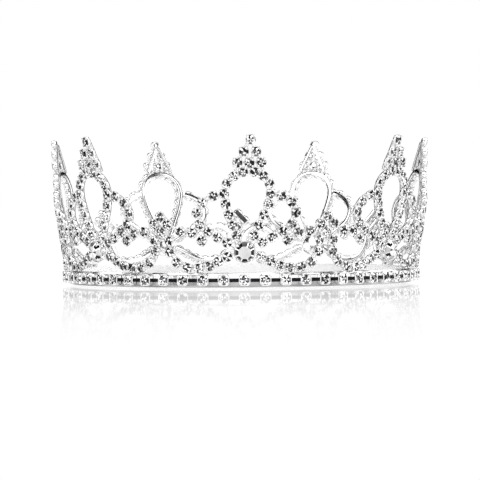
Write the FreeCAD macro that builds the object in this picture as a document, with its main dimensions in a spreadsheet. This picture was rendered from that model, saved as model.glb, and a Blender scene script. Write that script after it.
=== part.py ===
import FreeCAD, Part
import math
import os

# Full-round rhinestone crown. Seven identical arch panels stand on a flat
# band. Every panel is bent from flat backing wire that carries claw cups,
# each with a pointed-back stone. Units are millimetres, +Z is up, and the
# origin is the centre of the band at its lower edge. The front panel's
# centre line is at -Y.

App = FreeCAD
V = App.Vector
doc = App.newDocument("Crown")
sheet = doc.addObject("Spreadsheet::Sheet", "Sizes")

# alias, value, note
SIZES = [
    ("panel_count", 7, "arch panels round the crown"),
    ("base_per_panel", 8, "base chain cups for each panel"),
    ("band_inner_radius", 67.3, "inside of the band"),
    ("band_thickness", 0.7, "band wall"),
    ("band_height", 5.6, "band height"),
    ("cone_radius", 67.6, "back plane of the cups at the band's lower edge"),
    ("cone_slope", 0.145, "outward flare, radius per height"),
    ("wire_width", 1.8, "flat backing wire, width"),
    ("wire_thickness", 0.6, "flat backing wire, thickness"),
    ("wire_gap", 0.05, "solder film between wire and cup"),
    ("finial_wire_width", 1.2, "flat wire behind the top ornament"),
    ("small_stone_radius", 1.50, "small chaton at the girdle"),
    ("small_cup_rim_radius", 1.78, "small claw cup at the rim"),
    ("small_cup_foot_radius", 1.30, "small claw cup at the foot"),
    ("small_cup_rim_height", 1.62, "small claw cup, foot to rim"),
    ("small_claw_width", 0.70, "claw width"),
    ("base_stone_radius", 1.72, "base chain chaton at the girdle"),
    ("base_cup_side", 4.20, "base chain cup, across the flats"),
    ("base_cup_corner", 1.10, "base chain cup, corner radius"),
    ("base_cup_rim_height", 2.45, "base chain cup, back to rim"),
    ("base_claw_width", 1.00, "base chain claw width"),
    ("base_cup_level", 2.85, "height of the base chain's centre line"),
    ("base_cup_gap", 0.05, "solder film between band and base cups"),
    ("bar_height", 1.35, "base chain link bar, height"),
    ("bar_thickness", 0.70, "base chain link bar, thickness"),
    ("bar_clearance", 0.06, "gap from a link bar to its cups"),
    ("big_stone_radius", 3.80, "large chaton at the girdle"),
    ("big_cup_rim_radius", 4.20, "large setting at the rim"),
    ("big_cup_foot_radius", 3.30, "large setting at the foot"),
    ("big_cup_rim_height", 2.90, "large setting, foot to rim"),
    ("big_claw_width", 1.10, "large setting claw width"),
    ("big_level", 13.75, "height of the large stone's centre"),
]
for row, (alias, value, note) in enumerate(SIZES, 1):
    sheet.set("A%d" % row, note)
    sheet.set("B%d" % row, str(value))
    sheet.setAlias("B%d" % row, alias)
doc.recompute()


def size(alias):
    return float(getattr(sheet, alias))


def value_of(text):
    """Value of a short expression whose words are aliases and numbers,
    separated by spaces; times and divide bind before plus and minus."""
    words = text.split()
    terms, sign, i = [], 1.0, 0
    while i < len(words):
        value = number(words[i])
        i += 1
        while i < len(words) and words[i] in "*/":
            other = number(words[i + 1])
            value = value * other if words[i] == "*" else value / other
            i += 2
        terms.append(sign * value)
        if i < len(words):
            sign = 1.0 if words[i] == "+" else -1.0
            i += 1
    return sum(terms)


def number(word):
    return size(word) if word in ALIASES else float(word)


def S(text):
    """Prefix every alias in a short expression with the sheet's name."""
    out, word = "", ""
    for ch in text + " ":
        if ch.isalnum() or ch == "_":
            word += ch
        else:
            if word and word in ALIASES:
                out += "Sizes." + word
            else:
                out += word
            word = ""
            out += ch
    return out.strip()


ALIASES = set(a for a, _, _ in SIZES)


def origin_feature(body, role):
    for f in body.Origin.OriginFeatures:
        if f.Role == role:
            return f
    raise ValueError(role)


def new_body(name):
    body = doc.addObject("PartDesign::Body", name)
    return body


def polygon_sketch(body, name, role, points):
    """Closed polygon whose corners are tied to the sheet, one pair of
    expressions for each corner."""
    sk = body.newObject("Sketcher::SketchObject", name)
    sk.AttachmentSupport = [(origin_feature(body, role), "")]
    sk.MapMode = "FlatFace"
    ex = [(S(a), S(b)) for a, b in points]
    xy = [(value_of(a), value_of(b)) for a, b in points]
    n = len(xy)
    for i in range(n):
        a, b = xy[i], xy[(i + 1) % n]
        sk.addGeometry(Part.LineSegment(V(a[0], a[1], 0), V(b[0], b[1], 0)), False)
    import Sketcher
    for i in range(n):
        sk.addConstraint(Sketcher.Constraint("Coincident", i, 2, (i + 1) % n, 1))
    for i, ((ea, eb), (x, y)) in enumerate(zip(ex, xy)):
        for kind, expr, val, axis in (("DistanceX", ea, x, -2), ("DistanceY", eb, y, -1)):
            if abs(val) < 1e-9:
                sk.addConstraint(Sketcher.Constraint("PointOnObject", i, 1, axis))
            else:
                c = sk.addConstraint(Sketcher.Constraint(kind, -1, 1, i, 1, val))
                sk.setExpression("Constraints[%d]" % c, expr)
    return sk


def revolve(body, sk, name):
    rev = body.newObject("PartDesign::Revolution", name)
    rev.Profile = sk
    rev.ReferenceAxis = (sk, ["V_Axis"])
    rev.Angle = 360.0
    return rev


def around(body, feature, name, count):
    pat = body.newObject("PartDesign::PolarPattern", name)
    pat.Originals = [feature]
    pat.Axis = (origin_feature(body, "Z_Axis"), [""])
    pat.Angle = 360.0
    pat.Occurrences = count
    body.Tip = pat
    return pat


# ---------------------------------------------------------------- the band
band = new_body("base_band")
band_sk = polygon_sketch(band, "band_section", "XZ_Plane", [
    ("band_inner_radius", "0"),
    ("band_inner_radius + band_thickness", "0"),
    ("band_inner_radius + band_thickness", "band_height"),
    ("band_inner_radius", "band_height")])
revolve(band, band_sk, "band_ring")


# ------------------------------------------------- masters: cups and stones
def round_cup(name, p, seat, claw_tip, claw_top):
    """Round claw cup on its own axis: foot at z = 0, mouth towards +Z. The
    wall flares to the rim, the seat is a cone, and four claws bend over the
    stone's crown."""
    rim, foot, top = p + "_cup_rim_radius", p + "_cup_foot_radius", p + "_cup_rim_height"
    stone = p + "_stone_radius"
    body = new_body(name)
    sk = polygon_sketch(body, name + "_section", "XZ_Plane", [
        ("0", "0"),
        (foot, "0"),
        (rim, "0.55 * " + top),
        (rim, top),
        (stone + " + 0.06", top),
        ("0.28 * " + stone, seat),
        ("0", seat)])
    revolve(body, sk, name + "_wall")
    ck = polygon_sketch(body, name + "_claw_section", "XZ_Plane", [
        (stone + " + 0.15", "0.62 * " + top),
        (rim + " + 0.10", "0.62 * " + top),
        (rim + " + 0.10", top + " + 0.14"),
        (stone + " - 0.20", claw_top),
        (claw_tip, claw_top + " - 0.20"),
        (stone + " + 0.15", top + " + 0.02")])
    pad = body.newObject("PartDesign::Pad", name + "_claw")
    pad.Profile = ck
    pad.Midplane = True
    pad.setExpression("Length", S(p + "_claw_width"))
    around(body, pad, name + "_claws", 4)
    return body


def square_cup(name):
    """Base chain cup: a square box with rounded corners, a round conical
    seat and a broad claw on each corner."""
    body = new_body(name)
    # drawn on its corners, so that the claws stand on the axes
    half = "base_cup_side * 0.70711"
    sk = polygon_sketch(body, name + "_outline", "XY_Plane", [
        (half, "0"), ("0", half), ("0 - " + half, "0"), ("0", "0 - " + half)])
    pad = body.newObject("PartDesign::Pad", name + "_box")
    pad.Profile = sk
    pad.setExpression("Length", S("base_cup_rim_height"))
    doc.recompute()
    edges = []
    for i, e in enumerate(pad.Shape.Edges, 1):
        d = e.Vertexes[1].Point - e.Vertexes[0].Point
        if abs(d.z) > 0.5 and abs(d.x) < 1e-6 and abs(d.y) < 1e-6:
            edges.append("Edge%d" % i)
    fil = body.newObject("PartDesign::Fillet", name + "_corners")
    fil.Base = (pad, edges)
    fil.setExpression("Radius", S("base_cup_corner"))
    doc.recompute()
    gk = polygon_sketch(body, name + "_seat_section", "XZ_Plane", [
        ("0", "0.45"),
        ("0.28 * base_stone_radius", "0.45"),
        ("base_stone_radius + 0.06", "base_cup_rim_height"),
        ("base_stone_radius + 0.06", "base_cup_rim_height + 0.20"),
        ("0", "base_cup_rim_height + 0.20")])
    gr = body.newObject("PartDesign::Groove", name + "_seat")
    gr.Profile = gk
    gr.ReferenceAxis = (gk, ["V_Axis"])
    gr.Angle = 360.0
    doc.recompute()
    ck = polygon_sketch(body, name + "_claw_section", "XZ_Plane", [
        ("base_stone_radius + 0.16", "0.85 * base_cup_rim_height"),
        ("base_stone_radius + 0.60", "0.85 * base_cup_rim_height"),
        ("base_stone_radius + 0.60", "base_cup_rim_height + 0.16"),
        ("base_stone_radius - 0.22", "base_cup_rim_height + 0.56"),
        ("base_stone_radius - 0.38", "base_cup_rim_height + 0.38"),
        ("base_stone_radius + 0.16", "base_cup_rim_height + 0.02")])
    pad2 = body.newObject("PartDesign::Pad", name + "_claw")
    pad2.Profile = ck
    pad2.Midplane = True
    pad2.setExpression("Length", S("base_claw_width"))
    around(body, pad2, name + "_claws", 4)
    return body


small_cup = round_cup("small_claw_cup", "small", "0.42", "small_stone_radius - 0.32",
                      "small_cup_rim_height + 0.50")
big_cup = round_cup("large_claw_cup", "big", "0.60", "big_stone_radius - 0.95",
                    "big_cup_rim_height + 1.20")
base_cup = square_cup("square_claw_cup")
doc.recompute()


def chaton(radius, culet, girdle, table_ratio, crown, sides):
    """Pointed-back stone as a closed faceted solid on its own axis: culet
    down, a thin girdle, and a flat table."""
    pi2 = 2 * math.pi / sides
    half = pi2 / 2

    def ring(r, z, turn):
        return [V(r * math.cos(i * pi2 + turn), r * math.sin(i * pi2 + turn), z)
                for i in range(sides)]
    low = ring(radius, girdle, half)
    high = ring(radius, girdle + 0.05 * radius, half)
    table = ring(radius * table_ratio, girdle + crown, half)
    tip = V(0, 0, culet)

    def face(*pts):
        return Part.Face(Part.makePolygon(list(pts) + [pts[0]]))
    faces = [face(*table)]
    for i in range(sides):
        j = (i + 1) % sides
        faces.append(face(high[i], high[j], table[j], table[i]))
        faces.append(face(low[i], low[j], high[j], high[i]))
        faces.append(face(tip, low[j], low[i]))
    solid = Part.Solid(Part.Shell(faces))
    if solid.Volume < 0:
        solid.reverse()
    return solid


small_stone = chaton(size("small_stone_radius"), 0.50, size("small_cup_rim_height") - 0.03,
                     0.58, 0.52, 8)
base_stone = chaton(size("base_stone_radius"), 0.55, size("base_cup_rim_height") - 0.03,
                    0.58, 0.58, 8)
big_stone = chaton(size("big_stone_radius"), 0.75, size("big_cup_rim_height") - 0.02,
                   0.62, 1.30, 8)

# ----------------------------------------------------------- crown surface
PANELS = int(size("panel_count"))
PITCH = 2 * math.pi / PANELS
R0, SLOPE = size("cone_radius"), size("cone_slope")
BIG_Z = size("big_level")

# Each panel leans a little sideways, as a hand-soldered piece does: tangent
# of the lean, starting at the front panel and going to the wearer's left.
LEAN = [0.0600, -0.0300, 0.0, 0.0200, 0.0350, 0.0, 0.0180]


def panel_name(k):
    return ["front", "front_left", "left", "back_left", "back_right", "right",
            "front_right"][k]


def radius_at(z):
    return R0 + SLOPE * z


def to_surface(k, u, z, joint=False):
    """Angle and height of a pattern point: u runs along the surface from the
    panel's centre line, or from the joint line after the panel."""
    if joint:
        return (k + 0.5) * PITCH + u / radius_at(z), z
    lean = LEAN[k] * max(0.0, z - BIG_Z)
    # the lean fades out towards the joints, which stay upright
    edge = abs(u) / (radius_at(z) * PITCH / 2)
    fade = 1.0 - min(1.0, max(0.0, (edge - 0.45) / 0.5)) ** 2
    return k * PITCH + (u + lean * fade) / radius_at(z), z


def point(theta, z, out=0.0):
    """Point on the back plane of the cups, moved outwards along the normal."""
    n = normal(theta)
    r = radius_at(z)
    return V(r * math.sin(theta), -r * math.cos(theta), z) + n * out


def normal(theta):
    c = 1.0 / math.sqrt(1 + SLOPE * SLOPE)
    return V(c * math.sin(theta), -c * math.cos(theta), -SLOPE * c)


def frame_at(theta, z, tangent, out=0.0):
    """Placement with local Z along the normal and local X along tangent."""
    n = normal(theta)
    t = tangent - n * tangent.dot(n)
    t.normalize()
    b = n.cross(t)
    p = point(theta, z, out)
    m = App.Matrix(t.x, b.x, n.x, p.x, t.y, b.y, n.y, p.y, t.z, b.z, n.z, p.z, 0, 0, 0, 1)
    return m


# Half patterns (u, z) of one panel, mirrored for the other half.
LOOP = [(3.10, 19.70), (4.75, 23.50), (6.50, 27.45), (7.85, 31.45), (8.60, 35.35),
        (7.85, 39.10), (5.45, 41.95), (2.10, 43.45)]
PETAL = [(12.60, 34.55), (16.60, 32.10), (18.50, 28.15), (17.20, 24.05), (14.00, 21.25),
         (10.20, 19.05), (6.55, 17.10)]
SCROLL = [(16.00, 17.85), (19.90, 20.75), (24.35, 21.35), (28.60, 17.90), (28.30, 13.65),
          (25.50, 9.75), (21.30, 7.75), (17.00, 7.50), (13.05, 8.35), (9.65, 10.10),
          (6.25, 11.85)]
FINIAL = [(0.0, 55.90), (2.25, 51.10), (-2.25, 51.10), (4.40, 46.95), (-4.40, 46.95),
          (0.0, 46.90)]
JOINT = [(0.0, 26.90), (2.75, 24.05), (-2.75, 24.05), (0.0, 21.20)]


def spline(points):
    c = Part.BSplineCurve()
    c.interpolate(points)
    return c


SECTION_STEP = 1.6


def ribbon(stations, width, thickness, gap):
    """Flat wire along a row of (theta, z) stations on the crown surface,
    behind the cups: two broad ruled faces, two narrow ones and two ends."""
    mid = spline([point(t, z) for t, z in stations])
    n = max(8, int(round(mid.length() / SECTION_STEP)) + 1)
    first, last = mid.FirstParameter, mid.LastParameter
    sections = []
    for i in range(n):
        u = mid.parameterAtDistance(mid.length() * i / (n - 1), first)
        u = min(max(u, first), last)
        p = mid.value(u)
        theta = math.atan2(p.x, -p.y)
        nrm = normal(theta)
        tan = mid.tangent(u)[0]
        tan = tan - nrm * tan.dot(nrm)
        tan.normalize()
        side = nrm.cross(tan)
        base = point(theta, p.z)
        c = [base + side * (a * width / 2) - nrm * (gap + b * thickness)
             for a, b in ((1, 0), (1, 1), (-1, 1), (-1, 0))]
        sections.append(Part.makePolygon(c + [c[0]]))
    solid = Part.makeLoft(sections, True, False, False).Solids[0]
    if solid.Volume < 0:
        solid.reverse()
    expected = mid.length() * width * thickness
    if abs(solid.Volume - expected) > 0.08 * expected:
        raise RuntimeError("wire volume %.2f, expected %.2f" % (solid.Volume, expected))
    return solid


def put(master, matrices):
    out = []
    for m in matrices:
        s = master.copy()
        s.transformShape(m, True)
        out.append(s)
    return out


parts = []


def store(label, solids):
    obj = doc.addObject("Part::Feature", label)
    obj.Label = label
    obj.Shape = solids[0] if len(solids) == 1 else Part.makeCompound(solids)
    obj.Placement = App.Placement()
    parts.append((label, obj))
    return obj


parts.append(("base_band", band))

W, T, GAP = size("wire_width"), size("wire_thickness"), size("wire_gap")


def on_the_diagonal(body):
    """The master's shape, turned so that its claws stand on the diagonals."""
    shape = body.Shape.copy()
    c = math.sqrt(0.5)
    shape.transformShape(App.Matrix(c, -c, 0, 0, c, c, 0, 0, 0, 0, 1, 0, 0, 0, 0, 1), True)
    return shape


small_cup_shape = on_the_diagonal(small_cup)
big_cup_shape = on_the_diagonal(big_cup)
base_cup_shape = on_the_diagonal(base_cup)
for s in (small_cup_shape, big_cup_shape, base_cup_shape):
    if s.isNull() or not s.isValid():
        raise RuntimeError("master cup is not valid")


def polar_out(points, k):
    return [to_surface(k, u, z) for u, z in points]


def tangent_of(points, i):
    a = points[max(0, i - 1)]
    b = points[min(len(points) - 1, i + 1)]
    return b - a


def cups_along(stations):
    pts = [point(t, z) for t, z in stations]
    return [frame_at(t, z, tangent_of(pts, i)) for i, (t, z) in enumerate(stations)]


for k in range(PANELS):
    name = panel_name(k)
    mats = []
    # teardrop loop, one wire from the large setting up, over and down
    half = [(u, z) for u, z in LOOP]
    full = half + [(-u, z) for u, z in reversed(half)]
    end = (1.75, 16.80)
    wire = [end] + full + [(-end[0], end[1])]
    store(name + "_loop_wire", [ribbon(polar_out(wire, k), W, T, GAP)])
    mats += cups_along(polar_out(full, k))
    petals, scrolls = [], []
    for sgn in (1, -1):
        petal = [(sgn * u, z) for u, z in PETAL]
        wire = [(sgn * 9.78, 35.32)] + petal + [(sgn * 3.35, 15.35)]
        petals.append(ribbon(polar_out(wire, k), W, T, GAP))
        st = polar_out([(sgn * 8.60, 35.35)] + petal + [(0, BIG_Z)], k)
        mats += cups_along(st)[1:-1]
        scroll = [(sgn * u, z) for u, z in SCROLL]
        wire = [(sgn * 14.85, 16.55)] + scroll + [(sgn * 3.45, 13.05)]
        scrolls.append(ribbon(polar_out(wire, k), W, T, GAP))
        st = polar_out([(sgn * 14.2, 15.8)] + scroll + [(0, BIG_Z)], k)
        mats += cups_along(st)[1:-1]
    store(name + "_petal_wires", petals)
    store(name + "_scroll_wires", scrolls)
    store(name + "_cups", put(small_cup_shape, mats))
    store(name + "_stones", put(small_stone, mats))
    # large claw setting and its stone
    t0, z0 = to_surface(k, 0.0, BIG_Z)
    up = point(t0, z0 + 1) - point(t0, z0)
    big = frame_at(t0, z0, up)
    store(name + "_center_setting", put(big_cup_shape, [big]))
    store(name + "_center_stone", put(big_stone, [big]))

# top ornament: six cups in a 1-2-3 pyramid on a bent wire that stands on the
# loop's outer edge
finial_wires, finial_mats = [], []
for k in range(PANELS):
    arch = [(5.50, 43.90), (4.40, 46.95), (2.25, 51.10), (0.62, 54.55)]
    arch = arch + [(-u, z) for u, z in reversed(arch)]
    finial_wires.append(ribbon(polar_out(arch, k), size("finial_wire_width"), T, GAP))
    for u, z in FINIAL:
        t, z = to_surface(k, u, z)
        finial_mats.append(frame_at(t, z, point(t, z + 1) - point(t, z)))
store("finial_wires", finial_wires)
store("finial_cups", put(small_cup_shape, finial_mats))
store("finial_stones", put(small_stone, finial_mats))

# joint clusters: four cups in a diamond between two panels, on two short
# diagonal wires
joint_wires, joint_mats = [], []
for k in range(PANELS):
    # the pair of wires at the back slants the other way
    hand = -1 if k == 3 else 1
    q = [to_surface(k, hand * u, z, True) for u, z in JOINT]
    for a, b in ((0, 1), (2, 3)):
        (t1, z1), (t2, z2) = q[a], q[b]
        e = 0.34
        wire = [(t1 + (t1 - t2) * e, z1 + (z1 - z2) * e), (t1, z1),
                ((t1 + t2) / 2, (z1 + z2) / 2), (t2, z2),
                (t2 + (t2 - t1) * e, z2 + (z2 - z1) * e)]
        joint_wires.append(ribbon(wire, W, T, GAP))
        d = point(t2, z2) - point(t1, z1)
        joint_mats += [frame_at(t1, z1, d), frame_at(t2, z2, d)]
store("joint_wires", joint_wires)
store("joint_cups", put(small_cup_shape, joint_mats))
store("joint_stones", put(small_stone, joint_mats))

# base chain: square cups round the band with a flat bar between neighbours
count = int(size("base_per_panel")) * PANELS
outer = size("band_inner_radius") + size("band_thickness") + size("base_cup_gap")
level = size("base_cup_level")
cup_mats, bars = [], []
for i in range(count):
    a = 2 * math.pi * i / count
    n = V(math.sin(a), -math.cos(a), 0)
    t = V(math.cos(a), math.sin(a), 0)
    p = n * outer + V(0, 0, level)
    b = n.cross(t)
    cup_mats.append(App.Matrix(t.x, b.x, n.x, p.x, t.y, b.y, n.y, p.y, t.z, b.z, n.z, p.z,
                               0, 0, 0, 1))


def bar_between(i):
    """Flat bar between cup i and the next, bent to the band's radius."""
    side = size("base_cup_side") / 2 + size("bar_clearance")
    step = 2 * math.pi / count
    r_in = outer
    r_out = outer + size("bar_thickness")
    # angle from a cup's centre to its flat side, at the bar's outer face
    a0 = math.asin(side / r_in)
    a1 = step - a0
    base = i * step
    zl = level - 0.1 - size("bar_height") / 2

    def at(r, a, z):
        return V(r * math.sin(base + a), -r * math.cos(base + a), z)
    am = (a0 + a1) / 2
    edge_out = Part.Arc(at(r_out, a0, zl), at(r_out, am, zl), at(r_out, a1, zl)).toShape()
    edge_in = Part.Arc(at(r_in, a1, zl), at(r_in, am, zl), at(r_in, a0, zl)).toShape()
    l1 = Part.makeLine(at(r_out, a1, zl), at(r_in, a1, zl))
    l2 = Part.makeLine(at(r_in, a0, zl), at(r_out, a0, zl))
    return Part.Face(Part.Wire([edge_out, l1, edge_in, l2])).extrude(V(0, 0, size("bar_height")))


store("base_chain_cups", put(base_cup_shape, cup_mats))
store("base_chain_stones", put(base_stone, cup_mats))
store("base_chain_bars", [bar_between(i) for i in range(count)])

doc.recompute()

# ------------------------------------------------------------- final checks
for obj in doc.Objects:
    bad = [s for s in obj.State if s in ("Invalid", "Error")]
    if bad:
        raise RuntimeError("%s is %s" % (obj.Label, bad))
os.makedirs("parts", exist_ok=True)
total = 0.0
for label, obj in parts:
    shape = obj.Shape
    if shape.isNull() or not shape.isValid() or not shape.Solids:
        raise RuntimeError("%s has no valid shape" % label)
    for s in shape.Solids:
        if s.Volume <= 0:
            raise RuntimeError("%s holds an inside-out solid" % label)
    total += shape.Volume
for label, obj in parts:
    obj.Shape.exportStep("parts/%s.step" % label)
print("nodes", len(parts), "solids", sum(len(o.Shape.Solids) for _, o in parts),
      "volume mm3", round(total, 1))
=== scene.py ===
import math
import random
import bpy
import numpy as np
from mathutils import Matrix, Vector


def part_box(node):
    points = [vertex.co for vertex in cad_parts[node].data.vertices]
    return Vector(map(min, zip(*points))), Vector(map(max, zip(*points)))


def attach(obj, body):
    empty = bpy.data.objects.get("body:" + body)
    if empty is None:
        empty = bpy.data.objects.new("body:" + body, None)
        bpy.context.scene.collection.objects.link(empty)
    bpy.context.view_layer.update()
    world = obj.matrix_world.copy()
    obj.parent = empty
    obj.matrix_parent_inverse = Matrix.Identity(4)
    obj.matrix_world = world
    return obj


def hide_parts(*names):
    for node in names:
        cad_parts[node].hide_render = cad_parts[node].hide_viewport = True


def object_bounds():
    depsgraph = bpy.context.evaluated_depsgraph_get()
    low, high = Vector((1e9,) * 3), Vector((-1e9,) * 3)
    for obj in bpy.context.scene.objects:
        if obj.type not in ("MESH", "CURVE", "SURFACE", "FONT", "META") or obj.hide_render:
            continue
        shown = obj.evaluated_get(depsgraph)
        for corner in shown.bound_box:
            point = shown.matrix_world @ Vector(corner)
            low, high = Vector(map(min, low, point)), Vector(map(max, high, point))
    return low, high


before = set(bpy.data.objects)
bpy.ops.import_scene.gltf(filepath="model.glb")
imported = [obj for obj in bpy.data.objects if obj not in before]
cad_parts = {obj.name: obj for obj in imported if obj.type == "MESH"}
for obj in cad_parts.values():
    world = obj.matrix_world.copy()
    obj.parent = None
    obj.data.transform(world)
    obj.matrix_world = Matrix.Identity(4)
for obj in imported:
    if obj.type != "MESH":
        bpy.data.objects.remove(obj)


def as_list(box):
    return [[float(c) for c in p] for p in box]


cad_box = as_list(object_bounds())
rng = random.Random(7)
MM = 0.001
WHITE = 1.85

# ------------------------------------------------------------------ layout
# The same pattern as the CAD: seven panels on a cone, points as (u, z) in
# millimetres along the surface from the panel's centre line.
PANELS = 7
PITCH = 2 * math.pi / PANELS
R0, SLOPE = 67.6, 0.145
BIG_Z = 13.75
LEAN = [0.0600, -0.0300, 0.0, 0.0200, 0.0350, 0.0, 0.0180]
NAMES = ["front", "front_left", "left", "back_left", "back_right", "right", "front_right"]
LOOP = [(3.10, 19.70), (4.75, 23.50), (6.50, 27.45), (7.85, 31.45), (8.60, 35.35),
        (7.85, 39.10), (5.45, 41.95), (2.10, 43.45)]
PETAL = [(12.60, 34.55), (16.60, 32.10), (18.50, 28.15), (17.20, 24.05), (14.00, 21.25),
         (10.20, 19.05), (6.55, 17.10)]
SCROLL = [(16.00, 17.85), (19.90, 20.75), (24.35, 21.35), (28.60, 17.90), (28.30, 13.65),
          (25.50, 9.75), (21.30, 7.75), (17.00, 7.50), (13.05, 8.35), (9.65, 10.10),
          (6.25, 11.85)]
FINIAL = [(0.0, 55.30), (2.25, 51.10), (-2.25, 51.10), (4.40, 46.95), (-4.40, 46.95),
          (0.0, 46.90)]
JOINT = [(0.0, 26.90), (2.75, 24.05), (-2.75, 24.05), (0.0, 21.20)]
CN = 1.0 / math.sqrt(1 + SLOPE * SLOPE)
# the base cups' rim height and the top finial cup follow the CAD's own box
BASE_RIM = -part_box("base_chain_cups")[0][1] / MM - 68.05 - 0.56
FINIAL_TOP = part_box("finial_cups")[1][2] / MM - 1.632
FINIAL[0] = (0.0, FINIAL_TOP)


def radius_at(z):
    return R0 + SLOPE * z


def to_surface(k, u, z, joint=False):
    if joint:
        return (k + 0.5) * PITCH + u / radius_at(z), z
    lean = LEAN[k] * max(0.0, z - BIG_Z)
    edge = abs(u) / (radius_at(z) * PITCH / 2)
    fade = 1.0 - min(1.0, max(0.0, (edge - 0.45) / 0.5)) ** 2
    return k * PITCH + (u + lean * fade) / radius_at(z), z


def normal(th):
    return Vector((CN * math.sin(th), -CN * math.cos(th), -SLOPE * CN))


def point(th, z, out=0.0):
    r = radius_at(z)
    return Vector((r * math.sin(th), -r * math.cos(th), z)) + normal(th) * out


def frame_at(th, z, tangent):
    n = normal(th)
    t = (tangent - n * tangent.dot(n)).normalized()
    b = n.cross(t)
    p = point(th, z)
    return Matrix(((t.x, b.x, n.x, p.x), (t.y, b.y, n.y, p.y), (t.z, b.z, n.z, p.z), (0, 0, 0, 1)))


# ------------------------------------------------------------ mesh builder
class Bag:
    """Collects copies of small meshes, then makes one object of them."""

    def __init__(self):
        self.v, self.f, self.m, self.n = [], [], [], 0

    def add(self, part, matrix):
        v, f, m = part
        a = np.array(matrix)
        self.v.append(v @ a[:3, :3].T + a[:3, 3])
        self.f += [[i + self.n for i in q] for q in f]
        self.m += m
        self.n += len(v)

    def make(self, name, mats, smooth_angle=38.0, replaces=(), slot="silver_plate"):
        mesh = bpy.data.meshes.new(name)
        v = np.clip(np.concatenate(self.v) * MM, np.array(cad_box[0]), np.array(cad_box[1]))
        mesh.from_pydata(v.tolist(), [], self.f)
        for mat in mats:
            mesh.materials.append(mat)
        mesh.polygons.foreach_set("material_index", self.m)
        if smooth_angle:
            mesh.polygons.foreach_set("use_smooth", [True] * len(self.f))
            mesh.update()
            mesh.set_sharp_from_angle(angle=math.radians(smooth_angle))
        mesh.update()
        obj = bpy.data.objects.new(name, mesh)
        bpy.context.scene.collection.objects.link(obj)
        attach(obj, "root")
        if replaces:
            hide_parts(*replaces)
        return obj


def rings_mesh(rings, close_first=True, close_last=True, mat=0):
    """Skin over rows of equally many points, each row a closed ring."""
    n = len(rings[0])
    v = [p for ring in rings for p in ring]
    f = []
    for i in range(len(rings) - 1):
        for j in range(n):
            k = (j + 1) % n
            f.append([i * n + j, i * n + k, (i + 1) * n + k, (i + 1) * n + j])
    if close_first:
        f.append(list(range(n - 1, -1, -1)))
    if close_last:
        f.append([(len(rings) - 1) * n + j for j in range(n)])
    return np.array([tuple(p) for p in v], float), f, [mat] * len(f)


def shade(part, n, rows):
    """Give some rows of a turned body the darker grey material: painted shade in the seat around the stone."""
    v, f, m = part
    for row in rows:
        for j in range(n):
            m[row * n + j] = 1
    return v, f, m


def merge(*parts):
    v, f, m, n = [], [], [], 0
    for pv, pf, pm in parts:
        v.append(pv)
        f += [[i + n for i in q] for q in pf]
        m += pm
        n += len(pv)
    return np.concatenate(v), f, m


def circle(r, z, n, turn=0.0):
    return [(r * math.cos(2 * math.pi * i / n + turn), r * math.sin(2 * math.pi * i / n + turn), z)
            for i in range(n)]


def rounded_square(half, corner, z, n=32):
    """Ring of a rounded square, its sides square to X and Y."""
    pts = []
    c = half - corner
    for i in range(n):
        a = 2 * math.pi * (i + 0.5) / n
        dx, dy = math.cos(a), math.sin(a)
        # walk out along the direction until the rounded square is met
        lo, hi = 0.0, half * 1.5
        for _ in range(26):
            mid = (lo + hi) / 2
            x, y = abs(dx * mid), abs(dy * mid)
            d = math.hypot(max(0, x - c), max(0, y - c)) - corner
            if d < 0:
                lo = mid
            else:
                hi = mid
        pts.append((dx * lo, dy * lo, z))
    return pts


def claw(path, half_width, thick, angle, tip=0.55):
    """Claw bent along a path of (radius, height), turned about the axis."""
    rings = []
    ca, sa = math.cos(angle), math.sin(angle)
    for i, (r, z) in enumerate(path):
        a, b = path[max(0, i - 1)], path[min(len(path) - 1, i + 1)]
        tr, tz = b[0] - a[0], b[1] - a[1]
        s = math.hypot(tr, tz)
        nr, nz = tz / s, -tr / s
        k = 1.0
        if i == len(path) - 1:
            k = tip
        elif i == len(path) - 2:
            k = 0.92
        ring = []
        for x, y in ((1, 0.35), (0.72, 0.5), (-0.72, 0.5), (-1, 0.35), (-1, -0.35), (-0.72, -0.5),
                     (0.72, -0.5), (1, -0.35)):
            w = x * half_width * k
            h = y * thick * k * (1.15 if abs(x) < 0.9 else 1.0)
            rr, zz = r + nr * h, z + nz * h
            ring.append((rr * ca - w * sa, rr * sa + w * ca, zz))
        rings.append(ring)
    return rings_mesh(rings)


def round_cup(stone, rim, foot, top, hook, claw_w, tip_in, n=24):
    """Round claw cup: rolled rim, conical seat, four claws."""
    prof = [(foot - 0.14, 0.0), (foot, 0.05), (foot + 0.09, 0.17), (foot + (rim - foot) * 0.62, 0.40 * top),
            (rim - 0.03, 0.62 * top), (rim, 0.88 * top), (rim - 0.015, 0.97 * top), (rim - 0.06, top),
            (stone + 0.12, top), (stone + 0.07, top - 0.04), (stone + 0.05, top - 0.14),
            (0.36 * stone, 0.30 * top)]
    body = shade(rings_mesh([circle(r, z, n) for r, z in prof]), n, (8, 9, 10))
    path = [(foot + (rim - foot) * 0.75, 0.34 * top), (rim + 0.03, 0.56 * top), (rim + 0.07, 0.80 * top),
            (rim + 0.07, top + 0.06), (rim - 0.02, top + 0.58 * hook), (stone - 0.02, top + 0.88 * hook),
            (stone - tip_in * 0.55, top + 0.98 * hook), (stone - tip_in, top + 0.86 * hook)]
    claws = [claw(path, claw_w / 2, 0.15 + 0.05 * (rim > 3), math.radians(45 + 90 * i)) for i in range(4)]
    return merge(body, *claws)


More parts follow.
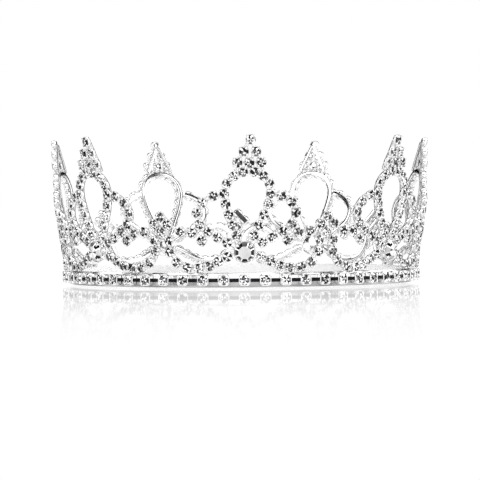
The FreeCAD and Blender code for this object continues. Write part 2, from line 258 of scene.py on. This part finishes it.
def square_cup():
    """Base chain cup: rounded square box, round seat, broad corner claws."""
    n, top, stone = 32, BASE_RIM, 1.72
    rings = [rounded_square(1.85, 0.95, 0.0), rounded_square(2.02, 1.05, 0.06),
             rounded_square(2.10, 1.10, 0.22), rounded_square(2.10, 1.10, top - 0.25),
             rounded_square(2.08, 1.08, top - 0.10), rounded_square(2.00, 1.00, top - 0.02),
             rounded_square(1.93, 1.20, top)]
    turn = math.pi / n
    rings += [circle(stone + 0.10, top, n, turn), circle(stone + 0.06, top - 0.05, n, turn),
              circle(0.35 * stone, 0.50, n, turn)]
    body = shade(rings_mesh(rings), n, (8,))
    path = [(2.36, top - 0.65), (2.40, top - 0.20), (2.36, top + 0.12), (2.20, top + 0.34), (1.92, top + 0.50),
            (1.62, top + 0.55), (1.36, top + 0.48)]
    claws = [claw(path, 0.52, 0.16, math.radians(45 + 90 * i), 0.6) for i in range(4)]
    return merge(body, *claws)


def cut(bright, dark, grey, dice):
    """Facet material: 0 bright foil, 1 dark, 2 grey; dark and grey are painted reflections."""
    x = dice.random()
    if x < dark:
        return 1
    if x < dark + grey:
        return 2
    return 0


def chaton(radius, culet, girdle, table, crown, dice, dark=0.43, grey=0.25, facets=8):
    """Pointed-back stone, foil-backed. The facets seen through the table
    are the eight mains of the pavilion; the crown has eight kites and
    sixteen girdle facets."""
    n = facets * 2
    v, f, m = [], [], []
    g0 = len(v)
    v += circle(radius, girdle, n)
    g1 = len(v)
    v += circle(radius, girdle + 0.035 * radius, n)
    t0 = len(v)
    v += circle(radius * table, girdle + crown, facets)
    s0 = len(v)
    v += circle(radius * (0.5 + 0.5 * table) * 1.03, girdle + crown * 0.56, facets, math.pi / facets)
    p0 = len(v)
    v += circle(radius * 0.46, culet + (girdle - culet) * 0.47, facets, math.pi / facets)
    c0 = len(v)
    v.append((0, 0, culet))
    q0 = len(v)
    v.append((0, 0, girdle + crown))
    phase = dice.randrange(2)
    mood = dice.choice((0.8, 0.95, 1.05, 1.2))
    dark, wedge = dark * mood, min(0.95, 0.80 * mood)
    for i in range(facets):
        j = (i + 1) % facets
        a, b, c = 2 * i, 2 * i + 1, (2 * i + 2) % n
        f.append([t0 + i, t0 + j, q0])
        # alternate table wedges painted dark as reflections, with some of them broken up
        m.append(cut(0, wedge, 0.2, dice) if (i + phase) % 2 else cut(0, 0.08, 0.12, dice))
        # crown kites and girdle facets are tinted bright, dark or grey at random: painted reflections
        kite = cut(0, dark, grey, dice)
        edge = cut(0, dark, grey, dice)
        f += [[t0 + i, s0 + i, t0 + j], [g1 + a, g1 + b, s0 + i], [g1 + b, g1 + c, s0 + i],
              [g1 + a, s0 + i, t0 + i], [g1 + c, t0 + j, s0 + i]]
        m += [kite, edge, edge, kite, kite]
        f += [[g0 + b, g0 + a, p0 + i], [g0 + c, g0 + b, p0 + i], [g0 + a, c0, p0 + i],
              [g0 + c, p0 + i, c0]]
        m += [0] * 4
    for i in range(n):
        j = (i + 1) % n
        f.append([g0 + i, g0 + j, g1 + j, g1 + i])
        m.append(0)
    return np.array(v, float), f, m


def large_chaton(radius, culet, girdle, table, crown, side):
    """Large stone: clear table with a bright edge, crown facets parted by
    narrow bright ones. The facets' painted reflections are listed by direction;
    side says which way the stone's painted dark wedge lies (0 for the head-on one)."""
    v, f, m = [], [], []
    facets = 8
    rings = []

    def ring(r, z, spoke):
        for i in range(facets):
            a = 2 * math.pi * (i + 0.5) / facets
            for d in (-spoke, spoke):
                v.append((r * math.cos(a + d), r * math.sin(a + d), z))
        rings.append(len(v) - 2 * facets)

    top = girdle + crown
    ring(radius, girdle, math.radians(6))
    ring(radius, girdle + 0.12, math.radians(6))
    ring(radius * 0.975, girdle + 0.22, math.radians(3.5))
    ring(radius * (table + 0.03), top - 0.05, math.radians(4.5))
    ring(radius * table, top, math.radians(11))
    c = len(v)
    v.append((0, 0, top))
    d = len(v)
    v.append((0, 0, culet))
    n = facets * 2
    # facet colours by direction, counter-clockwise from straight up; the dark and
    # grey ones are painted reflections: 0 bright, 1 dark, 2 grey, 3 clear table, 4 mid grey
    if side == 0:
        crown_m = [4, 2, 4, 2, 1, 2, 1, 0]
        table_m = [3] * 8
    elif side > 0:
        crown_m = [2, 4, 4, 0, 0, 1, 0, 1]
        table_m = [3, 2, 4, 0, 3, 0, 1, 0]
    else:
        crown_m = [2, 1, 0, 1, 0, 0, 4, 4]
        table_m = [3, 0, 1, 0, 3, 0, 4, 2]
    for row in range(4):
        for j in range(n):
            k = (j + 1) % n
            f.append([rings[row] + j, rings[row] + k, rings[row + 1] + k, rings[row + 1] + j])
            sector = ((j + 1) // 2) % facets
            if row == 2:
                m.append(crown_m[sector] if j % 2 else 0)
            else:
                m.append(0)
    for j in range(n):
        k = (j + 1) % n
        sector = ((j + 1) // 2) % facets
        f += [[rings[4] + j, rings[4] + k, c], [rings[0] + k, rings[0] + j, d]]
        m += [table_m[sector] if j % 2 or side == 0 else 3, 0]
    return np.array(v, float), f, m


def catmull(points, per=10):
    """Smooth 3-D curve through points, with evenly spread samples."""
    p = [points[0] * 2 - points[1]] + list(points) + [points[-1] * 2 - points[-2]]
    out = []
    for i in range(1, len(p) - 2):
        a, b, c, d = p[i - 1], p[i], p[i + 1], p[i + 2]
        for s in range(per):
            t = s / per
            out.append(0.5 * ((2 * b) + (c - a) * t + (2 * a - 5 * b + 4 * c - d) * t * t
                              + (3 * b - a - 3 * c + d) * t ** 3))
    out.append(points[-1])
    return out


def ribbon(stations, width, thickness, gap=0.05, per=7, paint_back_shade=False):
    """Flat wire with rolled edges along (theta, z) stations, behind the cups."""
    pts = catmull([point(t, z) for t, z in stations], per)
    rings = []
    w, h, e = width / 2, thickness, 0.13
    section = [(w, -e), (w, -h + e), (w - 0.04, -h + 0.04), (w - e, -h), (-w + e, -h), (-w + 0.04, -h + 0.04),
               (-w, -h + e), (-w, -e), (-w + 0.04, -0.04), (-w + e, 0.0), (w - e, 0.0), (w - 0.04, -0.04)]
    last = len(pts) - 1
    for i, p in enumerate(pts):
        th = math.atan2(p.x, -p.y)
        n = normal(th)
        t = pts[min(last, i + 1)] - pts[max(0, i - 1)]
        t = (t - n * t.dot(n)).normalized()
        side = n.cross(t)
        base = point(th, p.z)
        k = 0.80 if i in (0, last) else 1.0
        mid = -h / 2
        rings.append([base + side * (a * k) + n * (mid + (b - mid) * k - gap) for a, b in section])
    v, f, m = rings_mesh(rings)
    # the two side faces take the darker grey material: painted shade along the wire edges
    for i in range(len(rings) - 1):
        for j in (0, 6):
            m[i * len(section) + j] = 1
        # on the rear joint the back faces of the wire are painted near black: painted shade on the wire backs seen
        # across the ring
        if paint_back_shade and 0 < i < len(rings) - 2:
            for j in (1, 2, 3, 4, 5):
                m[i * len(section) + j] = 2
    return v, f, m


def blob(centre, rx, ry, rz, axes):
    """Small flattened solder drop."""
    rings = []
    for i in range(1, 6):
        a = math.pi * i / 6 - math.pi / 2
        rings.append([centre + axes[0] * (rx * math.cos(a) * math.cos(b)) + axes[1] * (ry * math.cos(a) * math.sin(b))
                      + axes[2] * (rz * math.sin(a)) for b in [2 * math.pi * j / 10 for j in range(10)]])
    return rings_mesh(rings)


# --------------------------------------------------------------- materials
def new_mat(name):
    mat = bpy.data.materials.new(name)
    mat.use_nodes = True
    nt = mat.node_tree
    nt.nodes.clear()
    out = nt.nodes.new("ShaderNodeOutputMaterial")
    return mat, nt, out


def metal(name, tint, rough, bump, scale, tarnish=0.10):
    """Bright plating: slight colour drift, soft wipe marks in the roughness,
    and a faint orange-peel surface."""
    mat, nt, out = new_mat(name)
    N, L = nt.nodes, nt.links
    p = N.new("ShaderNodeBsdfPrincipled")
    p.inputs["Metallic"].default_value = 1.0
    coord = N.new("ShaderNodeTexCoord")
    big = N.new("ShaderNodeTexNoise")
    big.inputs["Scale"].default_value = scale
    big.inputs["Detail"].default_value = 4.0
    ramp = N.new("ShaderNodeValToRGB")
    ramp.color_ramp.elements[0].position = 0.30
    ramp.color_ramp.elements[0].color = tuple(c * (1 - tarnish) for c in tint) + (1,)
    ramp.color_ramp.elements[1].position = 0.65
    ramp.color_ramp.elements[1].color = tuple(tint) + (1,)
    fine = N.new("ShaderNodeTexNoise")
    fine.inputs["Scale"].default_value = scale * 9
    fine.inputs["Detail"].default_value = 3.0
    rr = N.new("ShaderNodeMapRange")
    rr.inputs["To Min"].default_value = rough * 0.6
    rr.inputs["To Max"].default_value = rough * 1.6
    bp = N.new("ShaderNodeBump")
    bp.inputs["Strength"].default_value = bump
    bp.inputs["Distance"].default_value = 0.00012
    L.new(coord.outputs["Object"], big.inputs["Vector"])
    L.new(coord.outputs["Object"], fine.inputs["Vector"])
    L.new(big.outputs["Fac"], ramp.inputs["Fac"])
    L.new(ramp.outputs["Color"], p.inputs["Base Color"])
    L.new(fine.outputs["Fac"], rr.inputs["Value"])
    L.new(rr.outputs["Result"], p.inputs["Roughness"])
    L.new(fine.outputs["Fac"], bp.inputs["Height"])
    L.new(bp.outputs["Normal"], p.inputs["Normal"])
    L.new(p.outputs["BSDF"], out.inputs["Surface"])
    return mat


silver = metal("silver_plate", (0.95, 0.95, 0.955), 0.11, 0.10, 200.0, 0.08)
silver_band = metal("silver_band", (0.90, 0.90, 0.905), 0.14, 0.16, 120.0, 0.12)
band_inside = metal("band_inside", (0.98, 0.98, 0.985), 0.45, 0.10, 90.0, 0.04)
# mid grey: painted reflection of the ground, for the band's outer face below the link bars
band_foot_painted_reflection = metal("band_foot_painted_reflection", (0.47, 0.47, 0.475), 0.22, 0.30, 160.0, 0.25)
dark = metal("dark_bar", (0.018, 0.018, 0.020), 0.22, 0.25, 300.0, 0.3)

# darker grey: painted shade, used in the cup seats around the stones and on the wire edges
shade_grey = metal("silver_painted_shade", (0.27, 0.27, 0.275), 0.20, 0.35, 300.0, 0.35)


# near black: painted shade for the backs of the rear joint's wires
back_face_painted_shade = metal("back_face_painted_shade", (0.10, 0.10, 0.105), 0.25, 0.5, 420.0, 0.5)


def foil(name, tint, rough, coat, scale, drift):
    """Foil-backed glass facet: mirror under a clear skin."""
    mat = metal(name, tint, rough, 0.06, scale, drift)
    p = [q for q in mat.node_tree.nodes if q.type == "BSDF_PRINCIPLED"][0]
    p.inputs["Coat Weight"].default_value = coat
    p.inputs["Coat Roughness"].default_value = 0.02
    p.inputs["Coat IOR"].default_value = 1.56
    return mat


# foil mirrors: the bright one is the foil and the table one the clear table; the near-black, dark grey and mid grey
# tints are painted reflections of dark surroundings mirrored in the facets
STONE_MATS = [foil("stone_bright", (0.97, 0.97, 0.98), 0.05, 1.0, 320.0, 0.05),
              foil("stone_painted_dark_reflection", (0.022, 0.022, 0.026), 0.05, 0.12, 320.0, 0.2),
              foil("stone_painted_grey_reflection", (0.20, 0.20, 0.21), 0.08, 0.45, 320.0, 0.3),
              foil("stone_table", (0.70, 0.70, 0.71), 0.20, 0.5, 420.0, 0.16),
              foil("stone_painted_mid_reflection", (0.085, 0.085, 0.09), 0.12, 0.25, 260.0, 0.5)]

# ------------------------------------------------------------ build pieces
SMALL = round_cup(1.50, 1.78, 1.30, 1.62, 0.50, 0.70, 0.34)
LARGE = round_cup(3.86, 4.20, 3.30, 2.90, 1.10, 0.90, 0.62, 48)
SQUARE = square_cup()
STONES_S = [chaton(1.56, 0.50, 1.59, 0.60, 0.50, rng) for _ in range(24)]
STONES_B = [chaton(1.74, 0.55, BASE_RIM - 0.03, 0.62, 0.56, rng, 0.38, 0.24) for _ in range(24)]


def jitter(tilt, turn):
    """Small hand-set tilt and turn of one cup about its own foot."""
    return (Matrix.Rotation(math.radians(rng.uniform(-tilt, tilt)), 4, "X")
            @ Matrix.Rotation(math.radians(rng.uniform(-tilt, tilt)), 4, "Y")
            @ Matrix.Rotation(math.radians(rng.uniform(-turn, turn)), 4, "Z"))


def stone_turn():
    return Matrix.Rotation(rng.uniform(0, math.pi), 4, "Z")


def along(stations):
    pts = [point(t, z) for t, z in stations]
    last = len(pts) - 1
    return [frame_at(t, z, pts[min(last, i + 1)] - pts[max(0, i - 1)]) for i, (t, z) in enumerate(stations)]


def set_pair(cups, stones, matrix, grow=1.12):
    m = matrix @ jitter(1.6, 3.0) @ Matrix.Diagonal((grow, grow, 1.0, 1.0))
    cups.add(SMALL, m)
    stones.add(rng.choice(STONES_S), m @ stone_turn())


def solder(bag, k, a, b, size=0.62, out=0.35, joint_b=False):
    """Solder drop midway between two pattern points of panel k."""
    ta, za = to_surface(k, a[0], a[1])
    tb, zb = to_surface(k, b[0], b[1], joint_b)
    t, z = (ta + tb) / 2, (za + zb) / 2
    n = normal(t)
    x = (point(tb, zb) - point(ta, za))
    x = (x - n * x.dot(n)).normalized()
    s = size * rng.uniform(0.85, 1.15)
    bag.add(blob(point(t, z, out), s * 1.15, s * 0.85, s * 0.8, (x, n.cross(x), n)), Matrix.Identity(4))


for k, name in enumerate(NAMES):
    loop, petals, scrolls, cups, stones, drops = Bag(), Bag(), Bag(), Bag(), Bag(), Bag()
    full = list(LOOP) + [(-u, z) for u, z in reversed(LOOP)]
    wire = [(1.75, 16.80)] + full + [(-1.75, 16.80)]
    loop.add(ribbon([to_surface(k, u, z) for u, z in wire], 1.8, 0.6), Matrix.Identity(4))
    for m in along([to_surface(k, u, z) for u, z in full]):
        set_pair(cups, stones, m)
    for s in (1, -1):
        petal = [(s * u, z) for u, z in PETAL]
        wire = [(s * 9.78, 35.32)] + petal + [(s * 3.35, 15.35)]
        petals.add(ribbon([to_surface(k, u, z) for u, z in wire], 1.8, 0.6), Matrix.Identity(4))
        st = [(s * 8.60, 35.35)] + petal + [(0, BIG_Z)]
        for m in along([to_surface(k, u, z) for u, z in st])[1:-1]:
            set_pair(cups, stones, m)
        scroll = [(s * u, z) for u, z in SCROLL]
        wire = [(s * 14.85, 16.55)] + scroll + [(s * 3.45, 13.05)]
        scrolls.add(ribbon([to_surface(k, u, z) for u, z in wire], 1.8, 0.6), Matrix.Identity(4))
        st = [(s * 14.2, 15.8)] + scroll + [(0, BIG_Z)]
        for m in along([to_surface(k, u, z) for u, z in st])[1:-1]:
            set_pair(cups, stones, m)
        # solder where neighbouring runs meet
        solder(drops, k, (s * 8.60, 35.35), petal[0], 0.60)
        solder(drops, k, petal[3], scroll[1], 0.60)
        solder(drops, k, petal[4], scroll[0], 0.60)
        solder(drops, k, LOOP[0] if s > 0 else (-LOOP[0][0], LOOP[0][1]), petal[6], 0.62)
        solder(drops, k, scroll[10], (s * 2.2, 12.9), 0.70)
        solder(drops, k, scroll[6], (s * 21.3, 4.9), 0.62, 0.0)
        solder(drops, k, scroll[7], (s * 17.0, 4.9), 0.62, 0.0)
        solder(drops, k, (s * 2.25, 51.10), (0, 55.3), 0.55)
        solder(drops, k, (s * 2.25, 51.10), (s * 4.4, 46.95), 0.55)
        solder(drops, k, (s * 4.4, 46.95), (s * 5.45, 41.95), 0.60)
        solder(drops, k, (s * 4.4, 46.95), (0, 46.9), 0.50)
        solder(drops, k, (s * 2.25, 51.10), (0, 46.9), 0.50)
        solder(drops, k, (s * 2.10, 43.45), (0, 46.9), 0.55)
    loop.make(name + "_loop", [silver, shade_grey], 50, (name + "_loop_wire",))
    petals.make(name + "_petals", [silver, shade_grey], 50, (name + "_petal_wires",))
    scrolls.make(name + "_scrolls", [silver, shade_grey], 50, (name + "_scroll_wires",))
    cups.make(name + "_claw_cups", [silver, shade_grey], 42, (name + "_cups",))
    stones.make(name + "_chatons", STONE_MATS, None, (name + "_stones",), "rhinestone")
    drops.make(name + "_solder", [silver], 60)
    t0, z0 = to_surface(k, 0.0, BIG_Z)
    big = frame_at(t0, z0, point(t0, z0 + 1) - point(t0, z0)) @ jitter(1.5, 6.0)
    bag = Bag()
    bag.add(LARGE, big)
    bag.make(name + "_large_setting", [silver, shade_grey], 42, (name + "_center_setting",))
    bag = Bag()
    # the two front side panels get a stone whose dark wedge lies to one side: painted reflection
    bag.add(large_chaton(3.86, 0.75, 2.88, 0.60, 1.25, {1: -1, 6: 1}.get(k, 0)), big)
    bag.make(name + "_large_chaton", STONE_MATS, None, (name + "_center_stone",), "rhinestone")

wires, cups, stones = Bag(), Bag(), Bag()
for k in range(PANELS):
    arch = [(5.50, 43.90), (4.40, 46.95), (2.25, 51.10), (0.62, 54.55)]
    arch = arch + [(-u, z) for u, z in reversed(arch)]
    wires.add(ribbon([to_surface(k, u, z) for u, z in arch], 1.2, 0.6), Matrix.Identity(4))
    for u, z in FINIAL:
        t, z = to_surface(k, u, z if z < 55 else z - 0.35)
        set_pair(cups, stones, frame_at(t, z, point(t, z + 1) - point(t, z)), 1.15)
wires.make("finial_bent_wires", [silver, shade_grey], 50, ("finial_wires",))
cups.make("finial_claw_cups", [silver, shade_grey], 42, ("finial_cups",))
stones.make("finial_chatons", STONE_MATS, None, ("finial_stones",), "rhinestone")

wires, cups, stones, drops = Bag(), Bag(), Bag(), Bag()
for k in range(PANELS):
    hand = -1 if k == 3 else 1
    q = [to_surface(k, hand * u, z, True) for u, z in JOINT]
    for a, b in ((0, 1), (2, 3)):
        (t1, z1), (t2, z2) = q[a], q[b]
        e = 0.34
        st = [(t1 + (t1 - t2) * e, z1 + (z1 - z2) * e), (t1, z1), ((t1 + t2) / 2, (z1 + z2) / 2), (t2, z2),
              (t2 + (t2 - t1) * e, z2 + (z2 - z1) * e)]
        wires.add(ribbon(st, 1.8, 0.6, paint_back_shade=(k == 3)), Matrix.Identity(4))
        d = point(t2, z2) - point(t1, z1)
        set_pair(cups, stones, frame_at(t1, z1, d))
        set_pair(cups, stones, frame_at(t2, z2, d))
    for (ua, za), (ub, zb) in (((0, 26.9), (-2.75, 24.05)), ((0, 21.2), (2.75, 24.05)),
                               ((0, 21.2), (2.9, 17.9)), ((0, 21.2), (-2.9, 17.9)),
                               ((2.9, 17.9), (-2.9, 17.9)), ((2.9, 13.65), (-2.9, 13.65)),
                               ((2.75, 24.05), (7.35, 21.35)), ((-2.75, 24.05), (-7.35, 21.35))):
        ta, _ = to_surface(k, ua, za, True)
        tb, _ = to_surface(k, ub, zb, True)
        t, z = (ta + tb) / 2, (za + zb) / 2
        n = normal(t)
        x = (point(tb, zb) - point(ta, za)).normalized()
        x = (x - n * x.dot(n)).normalized()
        drops.add(blob(point(t, z, 0.3), 0.95 if abs(ua - ub) > 4 else 0.65, 0.55, 0.5, (x, n.cross(x), n)),
                  Matrix.Identity(4))
wires.make("joint_short_wires", [silver, shade_grey, back_face_painted_shade], 50, ("joint_wires",))
cups.make("joint_claw_cups", [silver, shade_grey], 42, ("joint_cups",))
stones.make("joint_chatons", STONE_MATS, None, ("joint_stones",), "rhinestone")
drops.make("joint_solder", [silver], 60)

# base chain and band
cups, stones, bars = Bag(), Bag(), Bag()
COUNT, OUTER, LEVEL = 56, 68.05, 2.85
for i in range(COUNT):
    a = 2 * math.pi * i / COUNT
    n = Vector((math.sin(a), -math.cos(a), 0))
    t = Vector((math.cos(a), math.sin(a), 0))
    b = n.cross(t)
    p = n * OUTER + Vector((0, 0, LEVEL))
    m = Matrix(((t.x, b.x, n.x, p.x), (t.y, b.y, n.y, p.y), (t.z, b.z, n.z, p.z), (0, 0, 0, 1))) @ jitter(0.8, 2.5)
    m = m @ Matrix.Diagonal((1.04, 1.04, 1.0, 1.0))
    cups.add(SQUARE, m)
    stones.add(rng.choice(STONES_B), m @ stone_turn())
    side = 2.1 + 0.06
    a0 = math.asin(side / OUTER)
    a1 = 2 * math.pi / COUNT - a0
    z0, z1 = LEVEL - 0.1 - 0.675, LEVEL - 0.1 + 0.675
    rings = []
    for s in range(7):
        ang = a + a0 + (a1 - a0) * s / 6
        e = 0.06
        k2 = 0.75 if s in (0, 6) else 1.0
        sec = []
        for r, z in ((OUTER, z0 + e), (OUTER + 0.04, z0), (OUTER + 0.62, z0), (OUTER + 0.70, z0 + e),
                     (OUTER + 0.70, z1 - e), (OUTER + 0.62, z1), (OUTER + 0.04, z1), (OUTER, z1 - e)):
            rc, zc = OUTER + 0.35, (z0 + z1) / 2
            r2, z2 = rc + (r - rc) * k2, zc + (z - zc) * (0.94 if k2 < 1 else 1)
            sec.append((r2 * math.sin(ang), -r2 * math.cos(ang), z2))
        rings.append(sec)
    bars.add(rings_mesh(rings), Matrix.Identity(4))
cups.make("base_square_cups", [silver, shade_grey], 42, ("base_chain_cups",))
stones.make("base_chatons", STONE_MATS, None, ("base_chain_stones",), "rhinestone")
bars.make("base_link_bars", [dark], 50, ("base_chain_bars",), "dark_bar")

band = Bag()
prof = [(67.30, 0.12), (67.36, 0.03), (67.46, 0.0), (67.84, 0.0), (67.94, 0.03), (68.00, 0.12), (68.00, 1.15),
        (68.00, 2.8), (68.00, 4.2), (68.00, 5.48), (67.94, 5.57), (67.84, 5.60), (67.46, 5.60), (67.36, 5.57),
        (67.30, 5.48), (67.30, 4.2), (67.30, 2.8), (67.30, 1.4)]
v, f = [], []
SEG = 336
for i in range(SEG):
    a = 2 * math.pi * i / SEG
    # a rolled strip is never perfectly round: a few hundredths of a millimetre
    wob = 0.03 * math.sin(3 * a + 0.7) + 0.02 * math.sin(11 * a) + 0.015 * math.sin(29 * a + 2)
    for r, z in prof:
        v.append(((r + wob) * math.sin(a), -(r + wob) * math.cos(a), z))
P = len(prof)
for i in range(SEG):
    j = (i + 1) % SEG
    for q in range(P):
        w = (q + 1) % P
        f.append([i * P + q, j * P + q, j * P + w, i * P + w])
band.v.append(np.array(v, float))
# outer rows 5 and 6, below the link bars, get the mid grey painted reflection of the ground; rows 13 on, the inside,
# get the satin inner finish
band.f, band.m, band.n = f, [(1 if i % P in (5, 6) else 2 if i % P >= 13 else 0) for i in range(len(f))], len(v)
band.make("band_ring", [silver_band, band_foot_painted_reflection, band_inside], 50, ("base_band",))

# ------------------------------------------------------------------- stage
floor_mesh = bpy.data.meshes.new("floor")
S = 6.0
floor_mesh.from_pydata([(-S, -S, 0), (S, -S, 0), (S, S, 0), (-S, S, 0)], [], [[0, 1, 2, 3]])
floor = bpy.data.objects.new("floor", floor_mesh)
bpy.context.scene.collection.objects.link(floor)
floor.location.z = -0.0006
fm, nt, out = new_mat("floor_white")
N, L = nt.nodes, nt.links
em = N.new("ShaderNodeEmission")
em.inputs["Color"].default_value = (1, 1, 1, 1)
em.inputs["Strength"].default_value = 1.02
gl = N.new("ShaderNodeBsdfGlossy")
gl.inputs["Roughness"].default_value = 0.03
gl.inputs["Color"].default_value = (1, 1, 1, 1)
mix = N.new("ShaderNodeMixShader")
# the gloss fades away from the object
geo = N.new("ShaderNodeNewGeometry")
far = N.new("ShaderNodeVectorMath")
far.operation = "LENGTH"
mr = N.new("ShaderNodeMapRange")
mr.inputs["From Min"].default_value = 0.50
mr.inputs["From Max"].default_value = 0.0
fade = N.new("ShaderNodeValToRGB")
q = fade.color_ramp.elements
q[0].position, q[0].color = 0.0, (0.0, 0.0, 0.0, 1)
q[1].position, q[1].color = 1.0, (0.45, 0.45, 0.45, 1)
for pos, val in ((0.40, 0.12), (0.58, 0.27), (0.72, 0.42), (0.82, 0.50)):
    w = q.new(pos)
    w.color = (val, val, val, 1)
L.new(geo.outputs["Position"], far.inputs[0])
L.new(far.outputs["Value"], mr.inputs["Value"])
L.new(mr.outputs["Result"], fade.inputs["Fac"])
L.new(fade.outputs["Color"], mix.inputs["Fac"])
L.new(em.outputs["Emission"], mix.inputs[1])
L.new(gl.outputs["BSDF"], mix.inputs[2])
L.new(mix.outputs["Shader"], out.inputs["Surface"])
floor_mesh.materials.append(fm)

# world: white to the eye, a studio of white panels and dark gaps to the
# reflections
world = bpy.data.worlds.new("studio")
bpy.context.scene.world = world
world.use_nodes = True
nt = world.node_tree
nt.nodes.clear()
N, L = nt.nodes, nt.links
wout = N.new("ShaderNodeOutputWorld")
bgc = N.new("ShaderNodeBackground")
bgc.inputs["Color"].default_value = (1, 1, 1, 1)
bgc.inputs["Strength"].default_value = 1.0
bgr = N.new("ShaderNodeBackground")
lp = N.new("ShaderNodeLightPath")
mx = N.new("ShaderNodeMixShader")
tc = N.new("ShaderNodeTexCoord")
vor = N.new("ShaderNodeTexVoronoi")
vor.feature = "F1"
vor.inputs["Scale"].default_value = 2.3
ramp = N.new("ShaderNodeValToRGB")
ramp.color_ramp.interpolation = "LINEAR"
e = ramp.color_ramp.elements
e[0].position, e[0].color = 0.47, (WHITE, WHITE, WHITE, 1)
e[1].position, e[1].color = 0.56, (0.0, 0.0, 0.0, 1)
L.new(tc.outputs["Generated"], vor.inputs["Vector"])
L.new(vor.outputs["Distance"], ramp.inputs["Fac"])
# along the viewing direction: white backdrop in the middle, a dark surround
# just outside it (it draws the dark edge lines), white behind the camera
sep = N.new("ShaderNodeSeparateXYZ")
L.new(tc.outputs["Generated"], sep.inputs["Vector"])
mr = N.new("ShaderNodeMapRange")
mr.inputs["From Min"].default_value = -1.0
mr.inputs["From Max"].default_value = 1.0
L.new(sep.outputs["Y"], mr.inputs["Value"])
zone = N.new("ShaderNodeValToRGB")
z = zone.color_ramp.elements
z[0].position, z[0].color = 0.0, (1, 1, 1, 1)
z[1].position, z[1].color = 1.0, (1, 1, 1, 1)
for pos, val in ((0.06, 1.0), (0.08, 0.0), (0.970, 0.0), (0.975, 1.0)):
    q = z.new(pos)
    q.color = (val, val, val, 1)
dark_zone = N.new("ShaderNodeValToRGB")
z = dark_zone.color_ramp.elements
z[0].position, z[0].color = 0.0, (1, 1, 1, 1)
z[1].position, z[1].color = 1.0, (1, 1, 1, 1)
for pos, val in ((0.84, 1.0), (0.87, 0.0), (0.970, 0.0), (0.975, 1.0)):
    q = z.new(pos)
    q.color = (val, val, val, 1)
L.new(mr.outputs["Result"], zone.inputs["Fac"])
L.new(mr.outputs["Result"], dark_zone.inputs["Fac"])
mul = N.new("ShaderNodeMix")
mul.data_type = "RGBA"
mul.blend_type = "MULTIPLY"
mul.inputs["Factor"].default_value = 1.0
L.new(ramp.outputs["Color"], mul.inputs["A"])
L.new(dark_zone.outputs["Color"], mul.inputs["B"])
top = N.new("ShaderNodeMix")
top.data_type = "RGBA"
top.inputs["B"].default_value = (1.45, 1.45, 1.45, 1)
L.new(zone.outputs["Color"], top.inputs["Factor"])
L.new(mul.outputs["Result"], top.inputs["A"])
back = N.new("ShaderNodeMix")
back.data_type = "RGBA"
back.inputs["B"].default_value = (1.03, 1.03, 1.03, 1)
rear = N.new("ShaderNodeMapRange")
rear.inputs["From Min"].default_value = 0.97
rear.inputs["From Max"].default_value = 0.98
L.new(mr.outputs["Result"], rear.inputs["Value"])
L.new(rear.outputs["Result"], back.inputs["Factor"])
L.new(top.outputs["Result"], back.inputs["A"])
over = N.new("ShaderNodeMapRange")
over.inputs["From Min"].default_value = 0.76
over.inputs["From Max"].default_value = 0.84
L.new(sep.outputs["Z"], over.inputs["Value"])
sky = N.new("ShaderNodeMix")
sky.data_type = "RGBA"
sky.inputs["B"].default_value = (1.5, 1.5, 1.5, 1)
L.new(over.outputs["Result"], sky.inputs["Factor"])
L.new(back.outputs["Result"], sky.inputs["A"])
L.new(sky.outputs["Result"], bgr.inputs["Color"])
L.new(lp.outputs["Is Camera Ray"], mx.inputs["Fac"])
L.new(bgr.outputs["Background"], mx.inputs[1])
L.new(bgc.outputs["Background"], mx.inputs[2])
L.new(mx.outputs["Shader"], wout.inputs["Surface"])

# ------------------------------------------------------------------ camera
D, H, F = 1.130, 0.0351, 2833.0
phi = math.radians(1.0)
cam_data = bpy.data.cameras.new("camera")
cam = bpy.data.objects.new("camera", cam_data)
bpy.context.scene.collection.objects.link(cam)
cam_data.sensor_width = 36.0
cam_data.lens = 36.0 * F / 480.0
cam_data.clip_start = 0.05
cam_data.clip_end = 50.0
cam.location = (-D * math.sin(phi), -D * math.cos(phi), H)
pitch = math.atan(46.0 / F)
yaw = -phi + math.atan(1.0 / F)
roll = math.radians(-0.45)
cam.rotation_mode = "QUATERNION"
rot = (Matrix.Rotation(yaw, 3, "Z") @ Matrix.Rotation(math.pi / 2 - pitch, 3, "X")
       @ Matrix.Rotation(roll, 3, "Z"))
cam.rotation_quaternion = rot.to_quaternion()
bpy.context.scene.camera = cam

vs = bpy.context.scene.view_settings
vs.view_transform = "Standard"
vs.look = "None"
vs.exposure = 0.0
vs.gamma = 1.0
